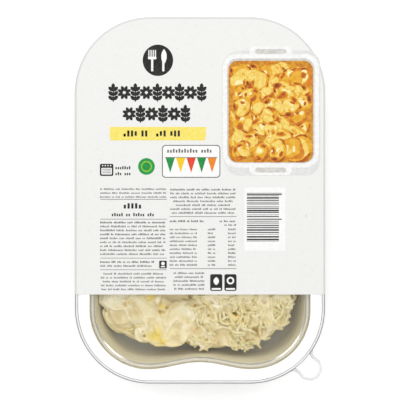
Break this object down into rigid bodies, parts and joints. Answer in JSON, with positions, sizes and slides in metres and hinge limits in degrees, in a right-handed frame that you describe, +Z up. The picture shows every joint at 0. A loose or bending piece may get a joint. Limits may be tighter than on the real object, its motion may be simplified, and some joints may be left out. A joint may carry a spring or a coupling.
{
  "type": "potato gratin in a sealed foil tray",
  "caption": "Oven-ready potato gratin under grated cheese, in a smooth-wall aluminium tray with waisted ends, a clear lidding film with a peel tab and a printed label.",
  "frame": {"origin": "on the surface that the tray stands on, under the middle of the pack's outline", "axes": "+Z up; +Y along the pack's length, away from the window; +X across the pack, to the side of the peel tab"},
  "size_m": [0.153, 0.224, 0.0372],
  "materials": {
    "tray": "satin lacquered foil sheet, greige inside, with a white glossy rim",
    "gratin": "moist cream sauce over potato slices and pale unbaked grated cheese",
    "film": "clear glossy lidding film",
    "label": "matt off-white print with coloured fields"
  },
  "bodies": {
    "root": {"tray": "tray", "gratin": "gratin", "lid_film": "film", "label": "label"}
  },
  "joints": []
}
